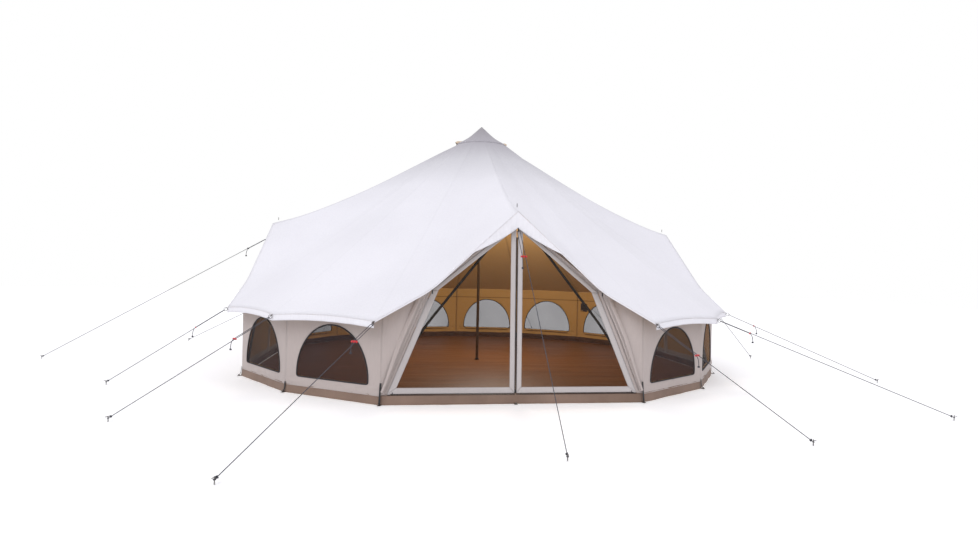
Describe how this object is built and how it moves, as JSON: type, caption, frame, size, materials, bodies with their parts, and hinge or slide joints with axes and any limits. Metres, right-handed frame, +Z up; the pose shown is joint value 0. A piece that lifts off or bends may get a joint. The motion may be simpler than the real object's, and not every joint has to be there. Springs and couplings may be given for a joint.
{
  "type": "bell tent",
  "caption": "Star bell tent: white canvas canopy on a centre pole, A-frame mesh doors, arched mesh windows in low walls, sewn-in floor, and guylines with sliding tensioners.",
  "frame": {"origin": "on the ground under the centre pole, at the underside of the groundsheet", "axes": "+Z up; the front door faces -Y; +X to the right seen from outside the front door"},
  "size_m": [13.2609, 12.6739, 4.196],
  "materials": {
    "roof_canvas": "cream-white coated cotton canvas",
    "wall_canvas": "beige-grey cotton canvas",
    "mesh": "fine insect mesh with sewn bindings",
    "groundsheet": "brown woven-faced groundsheet",
    "groundsheet_rim": "tan coated fabric",
    "vent": "tan canvas hood",
    "pole": "dark powder coat",
    "pole_foot": "matt",
    "frame": "dark powder coat",
    "black_plastic": "moulded",
    "zip_metal": "dark nickel",
    "peg": "galvanised",
    "ring": "satin",
    "rope": "braided dark cord",
    "red_plastic": "moulded red"
  },
  "bodies": {
    "tent": {"aframe_apexes": "frame", "aframe_legs": "frame", "base_pegs": "peg", "door_beak_valances": "roof_canvas", "door_gussets": "wall_canvas", "eave_valances": "roof_canvas", "flap_toggles": "black_plastic", "front_flaps": "wall_canvas", "front_left_rope": "rope", "front_peak_rope": "rope", "front_right_rope": "rope", "front_screen_sides": "mesh", "groundsheet_floor": "groundsheet", "groundsheet_rim": "groundsheet_rim", "guy_pegs": "peg", "guy_rings": "ring", "left_ropes": "rope", "peak_cap": "roof_canvas", "peg_tabs": "groundsheet_rim", "pole_foot": "pole_foot", "pole_lower": "pole", "pole_middle": "pole", "pole_upper": "pole", "rear_ropes": "rope", "right_ropes": "rope", "roof_canopy": "roof_canvas", "side_door_panels": "wall_canvas", "side_door_screens": "mesh", "vent_hoods": "vent", "window_covers": "wall_canvas", "window_screens": "mesh", "window_walls": "wall_canvas"},
    "front_screen_left": {"front_screen_left": "mesh"},
    "front_screen_right": {"front_screen_right": "mesh"},
    "left_door_leaf_left": {"left_door_leaf_left": "wall_canvas"},
    "left_door_leaf_right": {"left_door_leaf_right": "wall_canvas"},
    "right_door_leaf_left": {"right_door_leaf_left": "wall_canvas"},
    "right_door_leaf_right": {"right_door_leaf_right": "wall_canvas"},
    "front_centre_slider": {"front_centre_slider": "zip_metal"},
    "left_centre_slider": {"left_centre_slider": "zip_metal"},
    "right_centre_slider": {"right_centre_slider": "zip_metal"},
    "front_sill_slider_left": {"front_sill_slider_left": "zip_metal"},
    "front_sill_slider_right": {"front_sill_slider_right": "zip_metal"},
    "tensioner_front_peak": {"tensioner_front_peak": "red_plastic"},
    "tensioner_left_peak": {"tensioner_left_peak": "black_plastic"},
    "tensioner_right_peak": {"tensioner_right_peak": "red_plastic"},
    "tensioner_front_left": {"tensioner_front_left": "red_plastic"},
    "tensioner_front_right": {"tensioner_front_right": "red_plastic"},
    "tensioner_left_front": {"tensioner_left_front": "red_plastic"},
    "tensioner_right_front": {"tensioner_right_front": "red_plastic"},
    "tensioner_left_middle": {"tensioner_left_middle": "red_plastic"},
    "tensioner_right_middle": {"tensioner_right_middle": "red_plastic"},
    "tensioner_right_rear": {"tensioner_right_rear": "red_plastic"},
    "tensioner_rear_1": {"tensioner_rear_1": "red_plastic"},
    "tensioner_rear_2": {"tensioner_rear_2": "red_plastic"},
    "tensioner_rear_3": {"tensioner_rear_3": "red_plastic"},
    "tensioner_rear_4": {"tensioner_rear_4": "red_plastic"},
    "tensioner_rear_5": {"tensioner_rear_5": "red_plastic"},
    "tensioner_left_rear": {"tensioner_left_rear": "red_plastic"},
    "cable_port_flap": {"cable_port_flap": "wall_canvas"}
  },
  "joints": [
    {"name": "front_screen_left_hinge", "type": "hinge", "parent": "tent", "child": "front_screen_left", "pos_m": [-1.556, -3.6479, 0.11984], "axis": [-0.6222, -0.041, -0.7818], "range_deg": [0, 85]},
    {"name": "front_screen_right_hinge", "type": "hinge", "parent": "tent", "child": "front_screen_right", "pos_m": [1.556, -3.6479, 0.11984], "axis": [-0.6222, 0.041, 0.7818], "range_deg": [0, 85]},
    {"name": "left_door_leaf_left_hinge", "type": "hinge", "parent": "tent", "child": "left_door_leaf_left", "pos_m": [-3.61451, 1.63206, 0.11984], "axis": [-0.0279, 0.623, -0.7818], "range_deg": [0, 85]},
    {"name": "left_door_leaf_right_hinge", "type": "hinge", "parent": "tent", "child": "left_door_leaf_right", "pos_m": [-3.67969, -1.47926, 0.11984], "axis": [0.054, 0.6212, 0.7818], "range_deg": [0, 85]},
    {"name": "right_door_leaf_left_hinge", "type": "hinge", "parent": "tent", "child": "right_door_leaf_left", "pos_m": [3.67969, -1.47926, 0.11984], "axis": [0.054, -0.6212, -0.7818], "range_deg": [0, 85]},
    {"name": "right_door_leaf_right_hinge", "type": "hinge", "parent": "tent", "child": "right_door_leaf_right", "pos_m": [3.61451, 1.63206, 0.11984], "axis": [-0.0279, -0.623, 0.7818], "range_deg": [0, 85]},
    {"name": "front_centre_zip", "type": "slide", "parent": "front_screen_left", "child": "front_centre_slider", "axis": [0, 0.0523, 0.9986], "range_m": [0, 1.85]},
    {"name": "left_centre_zip", "type": "slide", "parent": "left_door_leaf_left", "child": "left_centre_slider", "axis": [0.0523, -0.0011, 0.9986], "range_m": [0, 1.85]},
    {"name": "right_centre_zip", "type": "slide", "parent": "right_door_leaf_left", "child": "right_centre_slider", "axis": [-0.0523, -0.0011, 0.9986], "range_m": [0, 1.85]},
    {"name": "front_sill_zip_left", "type": "slide", "parent": "front_screen_left", "child": "front_sill_slider_left", "axis": [1, 0, 0], "range_m": [0, 1.38]},
    {"name": "front_sill_zip_right", "type": "slide", "parent": "front_screen_right", "child": "front_sill_slider_right", "axis": [-1, 0, 0], "range_m": [0, 1.38]},
    {"name": "front_peak_tensioner_slide", "type": "slide", "parent": "tent", "child": "tensioner_front_peak", "axis": [0, 0.7414, 0.6711], "range_m": [0, 0.25]},
    {"name": "left_peak_tensioner_slide", "type": "slide", "parent": "tent", "child": "tensioner_left_peak", "axis": [0.8657, -0.0181, 0.5003], "range_m": [0, 0.25]},
    {"name": "right_peak_tensioner_slide", "type": "slide", "parent": "tent", "child": "tensioner_right_peak", "axis": [-0.6552, -0.0137, 0.7553], "range_m": [0, 0.25]},
    {"name": "front_left_tensioner_slide", "type": "slide", "parent": "tent", "child": "tensioner_front_left", "axis": [0.3823, 0.8586, 0.3417], "range_m": [0, 0.25]},
    {"name": "front_right_tensioner_slide", "type": "slide", "parent": "tent", "child": "tensioner_front_right", "axis": [-0.3663, 0.8227, 0.4346], "range_m": [0, 0.25]},
    {"name": "left_front_tensioner_slide", "type": "slide", "parent": "tent", "child": "tensioner_left_front", "axis": [0.6369, 0.6237, 0.4531], "range_m": [0, 0.25]},
    {"name": "right_front_tensioner_slide", "type": "slide", "parent": "tent", "child": "tensioner_right_front", "axis": [-0.6729, 0.659, 0.336], "range_m": [0, 0.25]},
    {"name": "left_middle_tensioner_slide", "type": "slide", "parent": "tent", "child": "tensioner_left_middle", "axis": [0.7747, 0.3256, 0.5421], "range_m": [0, 0.25]},
    {"name": "right_middle_tensioner_slide", "type": "slide", "parent": "tent", "child": "tensioner_right_middle", "axis": [-0.8473, 0.3562, 0.394], "range_m": [0, 0.25]},
    {"name": "right_rear_tensioner_slide", "type": "slide", "parent": "tent", "child": "tensioner_right_rear", "axis": [-0.8255, -0.3885, 0.4094], "range_m": [0, 0.25]},
    {"name": "rear_1_tensioner_slide", "type": "slide", "parent": "tent", "child": "tensioner_rear_1", "axis": [-0.6246, -0.6651, 0.4094], "range_m": [0, 0.25]},
    {"name": "rear_2_tensioner_slide", "type": "slide", "parent": "tent", "child": "tensioner_rear_2", "axis": [-0.3359, -0.8483, 0.4094], "range_m": [0, 0.25]},
    {"name": "rear_3_tensioner_slide", "type": "slide", "parent": "tent", "child": "tensioner_rear_3", "axis": [0, -0.9124, 0.4094], "range_m": [0, 0.25]},
    {"name": "rear_4_tensioner_slide", "type": "slide", "parent": "tent", "child": "tensioner_rear_4", "axis": [0.3359, -0.8483, 0.4094], "range_m": [0, 0.25]},
    {"name": "rear_5_tensioner_slide", "type": "slide", "parent": "tent", "child": "tensioner_rear_5", "axis": [0.6246, -0.6651, 0.4094], "range_m": [0, 0.25]},
    {"name": "left_rear_tensioner_slide", "type": "slide", "parent": "tent", "child": "tensioner_left_rear", "axis": [0.8255, -0.3885, 0.4094], "range_m": [0, 0.25]},
    {"name": "cable_port_hinge", "type": "hinge", "parent": "tent", "child": "cable_port_flap", "pos_m": [2.84554, 2.75961, 0.895], "axis": [-0.5878, 0.809, 0], "range_deg": [0, 110]}
  ]
}
